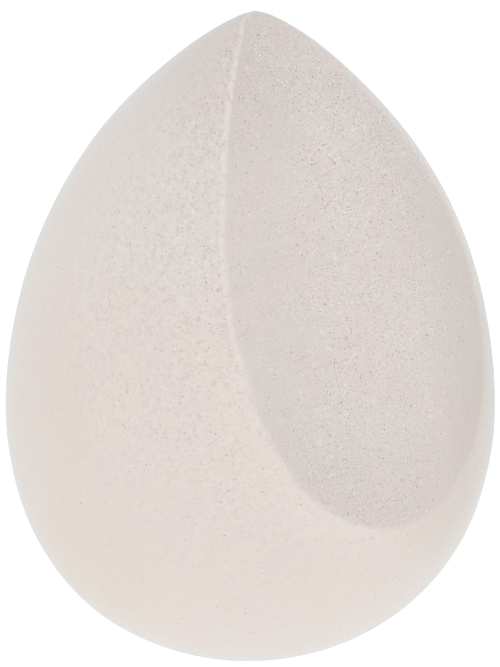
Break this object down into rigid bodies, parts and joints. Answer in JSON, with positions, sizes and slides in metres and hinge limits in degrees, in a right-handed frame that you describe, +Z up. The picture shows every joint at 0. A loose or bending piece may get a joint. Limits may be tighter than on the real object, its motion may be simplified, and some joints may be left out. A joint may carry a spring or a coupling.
{
  "type": "makeup sponge",
  "caption": "Teardrop foam makeup sponge with a blunt pointed tip, a round end and one long flat cut side, held in the fingers to dab and blend cosmetics.",
  "frame": {"origin": "middle of the flat foot under the round end, which is the middle of the bottom of the box", "axes": "+Z up along the axis to the tip; -Y is the side with the flat cut, and the YZ plane is the plane of symmetry"},
  "size_m": [0.042, 0.042, 0.0625],
  "materials": {
    "foam": "matte, soft, fine open-cell foam"
  },
  "bodies": {
    "root": {"foam_body": "foam"}
  },
  "joints": []
}
